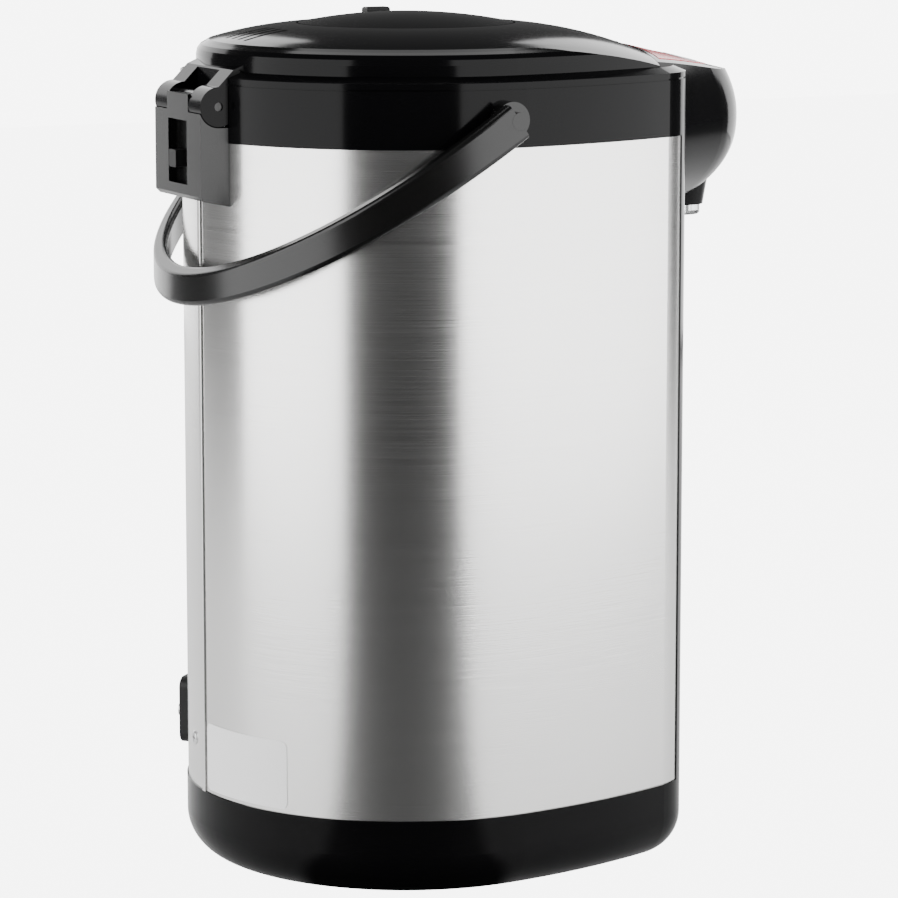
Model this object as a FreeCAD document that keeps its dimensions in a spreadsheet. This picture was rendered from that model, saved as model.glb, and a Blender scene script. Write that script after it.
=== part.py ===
import FreeCAD, Part
import Sketcher
import math
import os
from FreeCAD import Vector, Placement, Rotation

# Electric thermo pot, 5 litre, with a pump plate in the lid and a bail handle.
# Millimetres. Origin on the table under the centre of the rear of the jacket.
# +Z is up, the spout points to -Y, and the pot's right flank faces -X.

doc = FreeCAD.newDocument("thermo_pot")
sheet = doc.addObject("Spreadsheet::Sheet", "sizes")
sheet_rows = []


def size(alias, value):
    """Put one driving dimension in the sheet and return its number."""
    sheet_rows.append(alias)
    row = len(sheet_rows)
    sheet.set("A%d" % row, alias)
    sheet.set("B%d" % row, str(value))
    sheet.setAlias("B%d" % row, alias)
    return float(value)


# Body outline in plan
body_radius = size("body_radius", 104)
side_radius = size("side_radius", 300)
tangent_reach = size("tangent_reach", 10)
side_turn = size("side_turn", 22)
corner_radius = size("corner_radius", 32)
front_reach = size("front_reach", 120)

# Levels of the housing
base_top = size("base_top", 36.7)
jacket_top = size("jacket_top", 340.5)
collar_top = size("collar_top", 369.6)
lid_rise = size("lid_rise", 21.4)

# Walls
plastic_wall = size("plastic_wall", 2.6)
steel_wall = size("steel_wall", 0.8)
collar_step = size("collar_step", 0.6)
base_rounding = size("base_rounding", 20)
seat_gap = size("seat_gap", 0.3)

# Inner vessel and its heater
vessel_radius = size("vessel_radius", 84)
vessel_wall = size("vessel_wall", 1.0)
vessel_floor = size("vessel_floor", 62)
vessel_corner = size("vessel_corner", 10)
mouth_radius = size("mouth_radius", 76)
mouth_level = size("mouth_level", 352)
heater_radius = size("heater_radius", 58)
heater_thick = size("heater_thick", 6)
band_height = size("band_height", 30)
band_thick = size("band_thick", 2)

# Lid, pump plate and bellows
lid_radius = size("lid_radius", 97)
disc_radius = size("disc_radius", 50)
disc_thick = size("disc_thick", 9)
disc_crown = size("disc_crown", 5)
disc_gap = size("disc_gap", 0.8)
pump_travel = size("pump_travel", 22)
bellows_radius = size("bellows_radius", 33)
bellows_fold = size("bellows_fold", 6)
spring_radius = size("spring_radius", 17)
spring_wire = size("spring_wire", 1.8)
spring_turns = size("spring_turns", 6)
lock_width = size("lock_width", 12)
vent_count = size("vent_count", 4)
vent_pitch = size("vent_pitch", 7)
vent_width = size("vent_width", 2.6)
vent_length = size("vent_length", 22)

# Hinge box at the rear
hinge_half = size("hinge_half", 27)
hinge_back = size("hinge_back", 114.5)
hinge_level = size("hinge_level", 357)
hinge_pin_radius = size("hinge_pin_radius", 2)
running_gap = size("running_gap", 0.05)
box_bottom = size("box_bottom", 314.5)

# Bail handle
pivot_level = size("pivot_level", 353.3)
pivot_radius = size("pivot_radius", 4)
handle_clear = size("handle_clear", 6.8)
handle_width = size("handle_width", 17.5)
handle_thick = size("handle_thick", 7)
grip_width = size("grip_width", 16)
handle_drop = size("handle_drop", 34.6)

# Front: panel, level window, nose, spout
panel_half = size("panel_half", 77)
panel_thick = size("panel_thick", 2.4)
window_half = size("window_half", 9)
window_bottom = size("window_bottom", 80)
window_top = size("window_top", 285)
nose_radius = size("nose_radius", 60)
spout_reach = size("spout_reach", 145)
spout_end = size("spout_end", 300.5)
spout_radius = size("spout_radius", 12)
tube_bore = size("tube_bore", 4.5)
tube_wall = size("tube_wall", 1.5)

# Fixings
screw_radius = size("screw_radius", 1.8)
head_radius = size("head_radius", 3.5)
head_thick = size("head_thick", 2)

doc.recompute()
nodes = []


def bind(item, **links):
    """Tie properties of one object to expressions of the sheet."""
    for name, formula in links.items():
        item.setExpression(name, formula)
    return item


def node(item, label):
    """Name one sub-part, so that its solid is written to a file of its own."""
    item.Label = label
    nodes.append(item)
    return item


def shaped(label, shape):
    """A moulded piece whose form is made by Part's own functions."""
    item = doc.addObject("Part::Feature", label)
    item.Shape = shape
    item.Placement = shape.Placement
    return node(item, label)


def on_axis(angle, radius, centre):
    """Point at an angle from +X towards -Y, the front."""
    turn = math.radians(angle)
    return Vector(centre.x + radius * math.cos(turn), centre.y - radius * math.sin(turn), centre.z)


# The plan outline is a chain of tangent arcs: rear circle, two sides, two corners and the front.
first_turn = math.degrees(math.asin(tangent_reach / body_radius))
side_centre = on_axis(first_turn, body_radius - side_radius, Vector(0, 0, 0))
corner_centre = on_axis(side_turn, side_radius - corner_radius, side_centre)
corner_ahead = front_reach + corner_centre.y
front_radius = (corner_centre.x ** 2 + corner_ahead ** 2 - corner_radius ** 2) / (2 * (corner_ahead - corner_radius))
front_centre = Vector(0, front_radius - front_reach, 0)
front_turn = math.degrees(math.atan2(front_centre.y - corner_centre.y, corner_centre.x))


def outline_points(offset):
    """Joints and mid-points of the right-hand half of the outline, rear to front."""
    rear = on_axis(-90, body_radius + offset, Vector(0, 0, 0))
    start = on_axis(first_turn, body_radius + offset, Vector(0, 0, 0))
    side = on_axis((first_turn + side_turn) / 2, side_radius + offset, side_centre)
    shoulder = on_axis(side_turn, side_radius + offset, side_centre)
    corner = on_axis((side_turn + front_turn) / 2, corner_radius + offset, corner_centre)
    cheek = on_axis(front_turn, corner_radius + offset, corner_centre)
    tip = on_axis(90, front_radius + offset, front_centre)
    return rear, start, side, shoulder, corner, cheek, tip


def flip(point):
    return Vector(-point.x, point.y, point.z)


def lift(shape, level):
    return shape.translated(Vector(0, 0, level))


def outline_wire(offset, level):
    """Closed outline at one level, grown or shrunk by an offset."""
    rear, start, side, shoulder, corner, cheek, tip = outline_points(offset)
    edges = [
        Part.Arc(flip(start), rear, start).toShape(),
        Part.Arc(start, side, shoulder).toShape(),
        Part.Arc(shoulder, corner, cheek).toShape(),
        Part.Arc(cheek, tip, flip(cheek)).toShape(),
        Part.Arc(flip(cheek), flip(corner), flip(shoulder)).toShape(),
        Part.Arc(flip(shoulder), flip(side), flip(start)).toShape(),
    ]
    return lift(Part.Wire(edges), level)


def outline_block(offset, bottom, top):
    """Solid prism of the outline between two levels."""
    return Part.Face(outline_wire(offset, bottom)).extrude(Vector(0, 0, top - bottom))


def block(x_low, x_high, y_low, y_high, z_low, z_high):
    return Part.makeBox(x_high - x_low, y_high - y_low, z_high - z_low, Vector(x_low, y_low, z_low))


def rod(radius, start, end):
    """Straight round bar between two points."""
    return Part.makeCylinder(radius, (end - start).Length, start, end - start)


def edges_at(shape, level, within=0.01):
    """Edges that lie wholly at one level."""
    found = []
    for edge in shape.Edges:
        box = edge.BoundBox
        if abs(box.ZMin - level) < within and abs(box.ZMax - level) < within:
            found.append(edge)
    return found


def turned_body(label, corners, level=None, across=None):
    """PartDesign body revolved about Z. Corners are pairs of formulas, radius and height."""
    body = doc.addObject("PartDesign::Body", label + "_body")
    sketch = body.newObject("Sketcher::SketchObject", label + "_profile")
    plane = [f for f in body.Origin.OriginFeatures if f.Role == "XZ_Plane"][0]
    sketch.AttachmentSupport = [(plane, "")]
    sketch.MapMode = "FlatFace"
    values = [(sheet_value(r), sheet_value(z)) for r, z in corners]
    count = len(values)
    for index in range(count):
        r1, z1 = values[index]
        r2, z2 = values[(index + 1) % count]
        sketch.addGeometry(Part.LineSegment(Vector(r1, z1, 0), Vector(r2, z2, 0)), False)
    for index in range(count):
        sketch.addConstraint(Sketcher.Constraint("Coincident", index, 2, (index + 1) % count, 1))
    for index in range(count):
        for kind, formula, value in zip(("DistanceX", "DistanceY"), corners[index], values[index]):
            place = sketch.addConstraint(Sketcher.Constraint(kind, index, 1, value))
            sketch.setExpression("Constraints[%d]" % place, named(formula))
    turn = body.newObject("PartDesign::Revolution", label + "_turn")
    turn.Profile = sketch
    turn.ReferenceAxis = (sketch, ["V_Axis"])
    turn.Angle = 360
    if across is not None:
        body.Placement = Placement(Vector(across[0], across[1], 0), Rotation())
    return node(body, label)


def named(formula):
    """Write a formula of plain alias names as a formula of the sheet's cells."""
    words = sorted(set(sheet_rows), key=len, reverse=True)
    import re
    return re.sub(r"[a-z]+(?:_[a-z]+)+", lambda hit: "sizes." + hit.group(0) if hit.group(0) in words else hit.group(0),
                  formula)


def sheet_value(formula):
    """Number that a formula of alias names gives."""
    total = formula
    for alias in sorted(sheet_rows, key=len, reverse=True):
        total = total.replace(alias, repr(float(globals()[alias])))
    return FreeCAD.Units.Quantity(total).Value


# Base: a rounded cup of gloss plastic that the jacket stands on.
base_outer = outline_block(collar_step, 0, base_top)
base_outer = base_outer.makeFillet(base_rounding, edges_at(base_outer, 0))
base_inner = outline_block(collar_step - plastic_wall, plastic_wall, base_top)
base_inner = base_inner.makeFillet(base_rounding - plastic_wall, edges_at(base_inner, plastic_wall))
cover_radius = size("cover_radius", 66)
cover_thick = size("cover_thick", 3)
cover_place = size("cover_place", 6)
cover_centre = Vector(0, -cover_place, 0)
cover_hole = Part.makeCylinder(cover_radius + seat_gap, base_top, cover_centre)
base_shell = base_outer.cut(base_inner).cut(cover_hole)
# Four posts carry the bottom cover's screws.
post_radius = size("post_radius", 5)
post_circle = size("post_circle", 56)
post_points = [on_axis(angle, post_circle, cover_centre) for angle in (45, 135, 225, 315)]
ledge_width = size("ledge_width", 4)
ledge = Part.makeCylinder(cover_radius + 2 * ledge_width, cover_thick + plastic_wall, cover_centre)
ledge = ledge.cut(Part.makeCylinder(cover_radius - ledge_width, base_top, cover_centre)).cut(
    Part.makeCylinder(cover_radius + seat_gap, cover_thick, cover_centre))
base_shell = base_shell.fuse(ledge).removeSplitter()

cover = Part.makeCylinder(cover_radius, cover_thick, cover_centre)
for point in post_points:
    cover = cover.cut(Part.makeCylinder(head_radius + 0.3, head_thick, point))
    cover = cover.cut(Part.makeCylinder(screw_radius + 0.3, cover_thick, point))
vent_half = size("vent_half", 14)
for step in range(-3, 4):
    vent = block(-vent_half, vent_half, step * 7 - 1.2, step * 7 + 1.2, 0, cover_thick)
    cover = cover.cut(vent.translated(cover_centre + Vector(0, 22, 0))) if step > 0 else cover


def screw_up(point, length, sink=0):
    """Pan-head screw standing up from a point, head downwards, with a cross recess."""
    head = Part.makeCylinder(head_radius, head_thick - sink, point)
    shank = Part.makeCylinder(screw_radius, length, point)
    slot = block(-2, 2, -0.4, 0.4, 0, 1).translated(point)
    cross = block(-0.4, 0.4, -2, 2, 0, 1).translated(point)
    return head.fuse(shank).cut(slot).cut(cross)


# Rubber feet are round pads seated in pockets of the bottom cover.
foot_radius = size("foot_radius", 7)
foot_seat = size("foot_seat", 1.6)
foot_points = [on_axis(angle, post_circle - 12, cover_centre) for angle in (0, 90, 180, 270)]
feet = []
for point in foot_points:
    cover = cover.cut(Part.makeCylinder(foot_radius, foot_seat, point))
    feet.append(Part.makeCylinder(foot_radius - 0.1, foot_seat, point))

# Screw bosses reach from the cover to the power board's frame.
bosses = [Part.makeCylinder(post_radius, 12 - cover_thick, p + Vector(0, 0, cover_thick)) for p in post_points]
base_frame = size("base_frame", 14)
chassis = Part.makeCylinder(cover_radius - 7, 2, cover_centre + Vector(0, 0, 12))
for boss in bosses:
    chassis = chassis.fuse(boss)
for point in post_points:
    chassis = chassis.cut(Part.makeCylinder(screw_radius, 14, point))
base_screws = [screw_up(p, 12) for p in post_points]
shaped("base_shell", base_shell)
shaped("bottom_cover", cover)
shaped("rubber_feet", Part.makeCompound(feet))
shaped("base_screws", Part.makeCompound(base_screws))

# Jacket: one sheet of brushed steel, joined by a lock seam at the rear, open for the front panel.
jacket = outline_block(0, base_top, jacket_top).cut(outline_block(-steel_wall, base_top, jacket_top))
panel_slot = block(-panel_half, panel_half, -2 * front_reach, corner_centre.y, base_top, jacket_top)
jacket = jacket.cut(panel_slot)
seam_half = size("seam_half", 1.6)
seam_proud = size("seam_proud", 0.9)
seam = block(-seam_half, seam_half, body_radius - 0.4, body_radius + seam_proud, base_top, jacket_top)
seam = seam.makeFillet(0.5, [e for e in seam.Edges if e.BoundBox.ZLength > 100 and e.BoundBox.YMin > body_radius])
jacket = jacket.fuse(seam)

# Mains inlet low on the rear, on the side of the seam that faces away.
inlet_turn = size("inlet_turn", 44)
inlet_level = size("inlet_level", 62)
inlet_half = size("inlet_half", 21)
inlet_tall = size("inlet_tall", 13)
inlet_deep = size("inlet_deep", 14)
flange_edge = size("flange_edge", 6)
inlet_spin = Rotation(Vector(0, 0, 1), inlet_turn)
# In its own frame the inlet faces +X at the jacket's radius.
inlet_place = Placement(Vector(0, 0, inlet_level), inlet_spin)


def at_inlet(shape):
    moved = shape.copy()
    moved.Placement = inlet_place
    return moved


flange_face = body_radius + 2.2
tube = block(body_radius - inlet_deep, flange_face, -inlet_half, inlet_half, -inlet_tall, inlet_tall)
tube = tube.makeFillet(4, [e for e in tube.Edges if e.BoundBox.XLength > 10])
flange = block(body_radius - 3, flange_face, -inlet_half - flange_edge, inlet_half + flange_edge,
               -inlet_tall - 3, inlet_tall + 3)
flange = flange.makeFillet(5, [e for e in flange.Edges if e.BoundBox.XLength > 5])
well = block(body_radius - inlet_deep + 3, flange_face + 1, 3 - inlet_half, inlet_half - 3,
             3 - inlet_tall, inlet_tall - 3)
well = well.makeFillet(3, [e for e in well.Edges if e.BoundBox.XLength > 10])
inlet_body = tube.fuse(flange).cut(well)
inlet_screw_points = [Vector(flange_face, side * (inlet_half + 1.8), 0) for side in (-1, 1)]
inlet_screws = []
for point in inlet_screw_points:
    inlet_body = inlet_body.cut(Part.makeCylinder(screw_radius + 0.1, 20, point, Vector(-1, 0, 0)))
    inlet_body = inlet_body.cut(Part.makeCylinder(head_radius + 0.2, 1, point, Vector(-1, 0, 0)))
    sunk = point - Vector(1, 0, 0)
    screw = Part.makeCylinder(screw_radius, 8, sunk, Vector(-1, 0, 0))
    screw = screw.fuse(Part.makeCylinder(head_radius, head_thick, sunk, Vector(1, 0, 0)))
    screw = screw.cut(block(-0.6, 2, -2, 2, -0.4, 0.4).translated(sunk + Vector(head_thick, 0, 0)))
    screw = screw.cut(block(-0.6, 2, -0.4, 0.4, -2, 2).translated(sunk + Vector(head_thick, 0, 0)))
    inlet_screws.append(at_inlet(screw))
pin_radius = size("pin_radius", 2.2)
pins = []
for side in (-9.5, 9.5):
    start = Vector(body_radius - inlet_deep - 3, side, 0)
    pins.append(at_inlet(Part.makeCylinder(pin_radius, inlet_deep + 2, start, Vector(1, 0, 0))))
    inlet_body = inlet_body.cut(Part.makeCylinder(pin_radius, 30, start, Vector(1, 0, 0)))
inlet_body = at_inlet(inlet_body)
hole = block(body_radius - 8, body_radius + 8, -inlet_half - flange_edge, inlet_half + flange_edge,
             -inlet_tall - 3, inlet_tall + 3)
jacket = jacket.cut(at_inlet(hole.makeFillet(5, [e for e in hole.Edges if e.BoundBox.XLength > 10])))
shaped("outer_jacket", jacket)
shaped("mains_inlet", inlet_body)
shaped("inlet_pins", Part.makeCompound(pins))
shaped("inlet_screws", Part.makeCompound(inlet_screws))
shaped("chassis_plate", chassis)

# Bare rating plate, a thin curved patch beside the seam on the near side.
label_start = size("label_start", 2)
label_span = size("label_span", 31)
label_bottom = size("label_bottom", 38.5)
label_top = size("label_top", 70)
label_thick = size("label_thick", 0.3)
ring = Part.makeCylinder(body_radius + label_thick, label_top - label_bottom, Vector(0, 0, label_bottom))
ring = ring.cut(Part.makeCylinder(body_radius + 0.05, label_top - label_bottom, Vector(0, 0, label_bottom)))
wedge_points = [Vector(0, 0, label_bottom)]
for angle in (label_start, label_start + label_span / 2, label_start + label_span):
    wedge_points.append(on_axis(-90 - angle, 2 * body_radius, Vector(0, 0, label_bottom)))
wedge = Part.Face(Part.makePolygon(wedge_points + wedge_points[:1])).extrude(Vector(0, 0, label_top - label_bottom))
label = ring.common(wedge)
label = label.makeFillet(3, [e for e in label.Edges if e.Length < 2 * label_thick])
shaped("rating_plate", label)

# Inner vessel of thin steel, hung by its rim in the upper shell.
rim_width = size("rim_width", 8)
neck_drop = size("neck_drop", 10)
turned_body("inner_vessel", [
    ("0", "vessel_floor"),
    ("vessel_radius - vessel_corner", "vessel_floor"),
    ("vessel_radius", "vessel_floor + vessel_corner"),
    ("vessel_radius", "mouth_level - 2 * neck_drop"),
    ("mouth_radius + vessel_wall", "mouth_level - neck_drop"),
    ("mouth_radius + vessel_wall", "mouth_level"),
    ("mouth_radius + rim_width", "mouth_level"),
    ("mouth_radius + rim_width", "mouth_level + vessel_wall"),
    ("mouth_radius", "mouth_level + vessel_wall"),
    ("mouth_radius", "mouth_level - neck_drop"),
    ("vessel_radius - vessel_wall", "mouth_level - 2 * neck_drop"),
    ("vessel_radius - vessel_wall", "vessel_floor + vessel_corner + vessel_wall"),
    ("vessel_radius - vessel_corner - vessel_wall", "vessel_floor + vessel_wall"),
    ("0", "vessel_floor + vessel_wall"),
])
vessel_top = mouth_level + vessel_wall

# Heater plate under the vessel, keep-warm band round it, and their sensors.
turned_body("heater_plate", [
    ("heater_radius - 14", "vessel_floor - heater_thick"),
    ("heater_radius", "vessel_floor - heater_thick"),
    ("heater_radius", "vessel_floor"),
    ("heater_radius - 14", "vessel_floor"),
])
turned_body("keep_warm_band", [
    ("vessel_radius", "vessel_floor + vessel_corner + 8"),
    ("vessel_radius + band_thick", "vessel_floor + vessel_corner + 8"),
    ("vessel_radius + band_thick", "vessel_floor + vessel_corner + 8 + band_height"),
    ("vessel_radius", "vessel_floor + vessel_corner + 8 + band_height"),
])
sensor_radius = size("sensor_radius", 8)
sensor_tall = size("sensor_tall", 10)
thermostat = Part.makeCylinder(sensor_radius, sensor_tall, Vector(16, 14, vessel_floor - sensor_tall))
thermostat = thermostat.fuse(block(4, 28, 12, 16, vessel_floor - sensor_tall - 4, vessel_floor - sensor_tall))
shaped("boil_thermostat", thermostat)
fuse_radius = size("fuse_radius", 2.5)
fuse_y = 24
fuse_z = vessel_floor - heater_thick - fuse_radius
fuse = rod(fuse_radius, Vector(-52, 0, fuse_z), Vector(-52, fuse_y, fuse_z))
fuse = fuse.fuse(rod(fuse_radius / 3, Vector(-52, -12, fuse_z), Vector(-52, fuse_y + 12, fuse_z)))
shaped("thermal_fuse", fuse)

# Vessel bracket: three straps tie the heater end down to the chassis plate.
strap_width = size("strap_width", 12)
bracket_top = vessel_floor + vessel_corner
straps = []
for angle in (30, 150, 270):
    spin = Rotation(Vector(0, 0, 1), angle)
    strap = block(vessel_radius, vessel_radius + 1.2, -strap_width / 2, strap_width / 2,
                  base_top + 6, vessel_floor + vessel_corner + 7)
    foot = block(vessel_radius, vessel_radius + 9, -strap_width / 2, strap_width / 2, base_top + 6, base_top + 7.2)
    one = strap.fuse(foot)
    one.Placement = Placement(Vector(0, 0, 0), spin)
    straps.append(one)
ring_support = Part.makeCylinder(vessel_radius + 10, 6, Vector(0, 0, base_top))
ring_support = ring_support.cut(Part.makeCylinder(vessel_radius - 2, 6, Vector(0, 0, base_top)))
for angle in (30, 150, 270):
    web = block(vessel_radius, body_radius - plastic_wall + collar_step, -4, 4, base_top, base_top + 6)
    web.Placement = Placement(Vector(0, 0, 0), Rotation(Vector(0, 0, 1), angle))
    ring_support = ring_support.fuse(web)
ring_support = ring_support.fuse(
    outline_block(collar_step - plastic_wall - 0.1, base_top - 4, base_top).cut(
        outline_block(collar_step - 2 * plastic_wall - 6, base_top - 4, base_top)).common(
        outline_block(0, base_top - 4, base_top)))
ring_support = ring_support.cut(block(-panel_half, panel_half, -2 * front_reach, -corner_centre.x - 25, 0, 400))
shaped("vessel_support", ring_support.removeSplitter())
shaped("vessel_straps", Part.makeCompound(straps))

# Circuit boards: power board over the chassis plate, control board under the control panel.
board_thick = size("board_thick", 1.6)
chassis_top = 14
power_board = block(-38, 30, -2, 42, chassis_top + 3, chassis_top + 3 + board_thick)
for x in (-32, 24):
    for y in (4, 36):
        power_board = power_board.fuse(Part.makeCylinder(2.5, 3, Vector(x, y, chassis_top)))
top_of_board = chassis_top + 3 + board_thick
power_board = power_board.fuse(block(-30, -12, 8, 24, top_of_board, top_of_board + 15))
power_board = power_board.fuse(block(-4, 10, 20, 34, top_of_board, top_of_board + 12))
for x in (14, 21):
    power_board = power_board.fuse(Part.makeCylinder(3, 11, Vector(x, 10, top_of_board)))
shaped("power_board", power_board.removeSplitter())

# Electric pump low in the base: motor below, round pump chamber above it, driven by one shaft.
pump_x = size("pump_x", 4)
pump_y = size("pump_y", 34)
motor_radius = size("motor_radius", 12)
motor_tall = size("motor_tall", 14)
chamber_radius = size("chamber_radius", 17)
chamber_tall = size("chamber_tall", 12)
shaft_radius = size("shaft_radius", 1.5)
pump_centre = Vector(pump_x, -pump_y, chassis_top)
motor = Part.makeCylinder(motor_radius, motor_tall, pump_centre)
motor = motor.cut(Part.makeCylinder(shaft_radius + running_gap, motor_tall - 3, pump_centre + Vector(0, 0, 3)))
chamber_foot = pump_centre + Vector(0, 0, motor_tall)
chamber = Part.makeCylinder(chamber_radius, chamber_tall, chamber_foot)
chamber = chamber.cut(Part.makeCylinder(chamber_radius - 2, chamber_tall - 4, chamber_foot + Vector(0, 0, 2)))
chamber = chamber.cut(Part.makeCylinder(shaft_radius + 1, 2, chamber_foot))
inlet_top = Part.makeCylinder(tube_bore + tube_wall, 4, chamber_foot + Vector(0, 0, chamber_tall))
inlet_top = inlet_top.cut(Part.makeCylinder(tube_bore, 4, chamber_foot + Vector(0, 0, chamber_tall)))
chamber = chamber.cut(Part.makeCylinder(tube_bore, 4, chamber_foot + Vector(0, 0, chamber_tall - 3)))
chamber = chamber.fuse(inlet_top)
outlet_level = chamber_foot.z + chamber_tall / 2
outlet_start = Vector(pump_x, -pump_y - chamber_radius + 1, outlet_level)
outlet_end = outlet_start - Vector(0, 10, 0)
outlet = rod(tube_bore, outlet_start, outlet_end)
chamber = chamber.fuse(outlet).cut(rod(tube_bore - tube_wall, outlet_start + Vector(0, 2, 0), outlet_end))
shaped("pump_motor", motor)
shaped("pump_chamber", chamber)
blade_count = 6
rotor = Part.makeCylinder(shaft_radius, motor_tall + 6, pump_centre + Vector(0, 0, 3.3))
rotor = rotor.fuse(Part.makeCylinder(chamber_radius - 4, 1.5, chamber_foot + Vector(0, 0, 2.5)))
for index in range(blade_count):
    blade = block(3, chamber_radius - 4, -0.6, 0.6, 2.5, 6.5)
    blade.Placement = Placement(chamber_foot, Rotation(Vector(0, 0, 1), index * 360 / blade_count))
    rotor = rotor.fuse(blade)
shaped("impeller", rotor.removeSplitter())

# Suction hose from the vessel floor to the pump, and riser tube behind the front panel.
hose_top = vessel_floor
hose_foot = chamber_foot.z + chamber_tall
suction_radius = tube_bore + tube_wall
suction = Part.makeCylinder(suction_radius + 1.5, hose_top - hose_foot, Vector(pump_x, -pump_y, hose_foot))
suction = suction.cut(Part.makeCylinder(suction_radius, 4, Vector(pump_x, -pump_y, hose_foot)))
suction = suction.cut(Part.makeCylinder(tube_bore, hose_top - hose_foot, Vector(pump_x, -pump_y, hose_foot)))
shaped("suction_hose", suction)
riser_reach = size("riser_reach", 108)
riser_top = size("riser_top", 336)
bend_radius = size("bend_radius", 14)


def tube_along(points, radius, bend):
    """Round bar along straight runs joined by tangent arcs."""
    edges = []
    start = points[0]
    for before, corner, after in zip(points, points[1:], points[2:]):
        back = (before - corner).normalize()
        ahead = (after - corner).normalize()
        half = back.getAngle(ahead) / 2
        reach = bend / math.tan(half)
        enter = corner + back * reach
        leave = corner + ahead * reach
        centre = corner + (back + ahead).normalize() * (bend / math.sin(half))
        middle = centre + (corner - centre).normalize() * bend
        edges.append(Part.makeLine(start, enter))
        edges.append(Part.Arc(enter, middle, leave).toShape())
        start = leave
    edges.append(Part.makeLine(start, points[-1]))
    path = Part.Wire(edges)
    first = (points[1] - points[0]).normalize()
    ring = Part.Wire([Part.makeCircle(radius, points[0], first)])
    return path.makePipeShell([ring], True, False)


riser_points = [
    outlet_start - Vector(0, 1, 0),
    Vector(pump_x, -riser_reach, outlet_level),
    Vector(pump_x, -riser_reach, riser_top),
    Vector(pump_x, -spout_reach, riser_top),
    Vector(pump_x, -spout_reach, spout_end + 12),
]
riser_solid = tube_along(riser_points, tube_bore + tube_wall, bend_radius)
riser_bore = tube_along(riser_points, tube_bore, bend_radius)
riser = riser_solid.cut(riser_bore)
shaped("riser_tube", riser)

# Front panel of gloss plastic, with the clear water-level window and its gauge tube.
panel_skin = outline_block(collar_step, base_top, jacket_top)
panel_skin = panel_skin.cut(outline_block(collar_step - panel_thick, base_top, jacket_top))
front_half = block(-panel_half, panel_half, -2 * front_reach, corner_centre.y, base_top, jacket_top)
panel_skin = panel_skin.common(front_half)
window_cut = block(-window_half, window_half, -2 * front_reach, 0, window_bottom, window_top)
window_cut = window_cut.makeFillet(window_half - 0.5, [e for e in window_cut.Edges if e.BoundBox.YLength > 10])
pipe_gate = tube_along(riser_points, tube_bore + tube_wall + seat_gap, bend_radius)
window = panel_skin.common(window_cut)
panel = panel_skin.cut(window_cut).cut(pipe_gate)
shaped("front_panel", panel)
shaped("level_window", window)
gauge_x = size("gauge_x", -5)
gauge_reach = size("gauge_reach", 111)
gauge_radius = size("gauge_radius", 3)
gauge_run = Vector(gauge_x, -gauge_reach, window_top + 12)
gauge = rod(gauge_radius, Vector(gauge_x, -gauge_reach, window_bottom - 8), gauge_run)
gauge = gauge.cut(rod(gauge_radius - 1, Vector(gauge_x, -gauge_reach, window_bottom - 6), gauge_run))
gauge_foot = block(gauge_x - 7, gauge_x + 7, -gauge_reach - 4.5, -gauge_reach + 4, window_bottom - 18,
                   window_bottom - 2)
gauge_foot = gauge_foot.cut(rod(gauge_radius, Vector(gauge_x, -gauge_reach, window_bottom - 8), gauge_run))
gauge_foot = gauge_foot.cut(riser_solid)
shaped("level_tube", gauge)
shaped("level_tube_holder", gauge_foot.cut(pipe_gate))

# Nose: the housing over the spout, in one piece with the collar.
nose_centre = size("nose_centre", 108)
nose_root = size("nose_root", 85)
nose_taper = size("nose_taper", 33)
nose_underside = size("nose_underside", 304)
heel_radius = size("heel_radius", 24)
heel_reach = size("heel_reach", 143)
hull_power = size("hull_power", 2.4)
nose_inset = size("nose_inset", 8)
nose_turn = size("nose_turn", 345)
crown_radius = size("crown_radius", 291)
joint_reach = size("joint_reach", 105.5)
joint_level = size("joint_level", 379.6)
top_fall = size("top_fall", 13.5)
nose_bands = 14


def nose_wire(offset, level):
    """Plan of the nose at a level: a round front with straight sides that widen towards the collar."""
    turn = math.radians(nose_taper)
    depth = max(0, (nose_turn - level) / (nose_turn - nose_underside))
    rise = max(0, (level - nose_turn) / (jacket_top + 30 - nose_turn))
    shrink = nose_inset * rise ** 2
    radius = nose_radius - (nose_radius - heel_radius) * depth ** hull_power - shrink + offset
    centre = nose_centre + (heel_reach - heel_radius - nose_centre) * depth ** hull_power
    cheek = Vector(radius * math.cos(turn), -centre - radius * math.sin(turn), level)
    root = Vector(cheek.x + (-nose_root - cheek.y) * math.tan(turn), -nose_root, level)
    tip = Vector(0, -centre - radius, level)
    edges = [
        Part.makeLine(root, cheek),
        Part.Arc(cheek, tip, flip(cheek)).toShape(),
        Part.makeLine(flip(cheek), flip(root)),
        Part.makeLine(flip(root), root),
    ]
    return Part.Wire(edges)


def nose_block(inset, lowest):
    """Nose solid, shrunk by an inset on every face."""
    top = joint_level + 8
    sections = [nose_wire(-inset, lowest + (top - lowest) * index / nose_bands) for index in range(nose_bands + 1)]
    whole = Part.makeLoft(sections, True, False)
    # The top is a crowned face that falls towards the tip.
    fall = math.radians(top_fall)
    along = Vector(0, -math.cos(fall), -math.sin(fall))
    up = Vector(0, -math.sin(fall), math.cos(fall))
    top_point = Vector(0, -joint_reach, joint_level - inset)
    axis_point = top_point - up * crown_radius
    crown = Part.makeCylinder(crown_radius, 400, axis_point - along * 200, along)
    return whole.common(crown)


rim_inset = size("rim_inset", 6)
rim_rise = size("rim_rise", 2.4)
lid_inset = size("lid_inset", 7.4)
lid_foot = size("lid_foot", 371.3)
deck_level = size("deck_level", 370)
deck_thick = size("deck_thick", 4)
opening_radius = size("opening_radius", 93)
joint_bow = size("joint_bow", 230)
joint_gap = size("joint_gap", 0.6)

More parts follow.
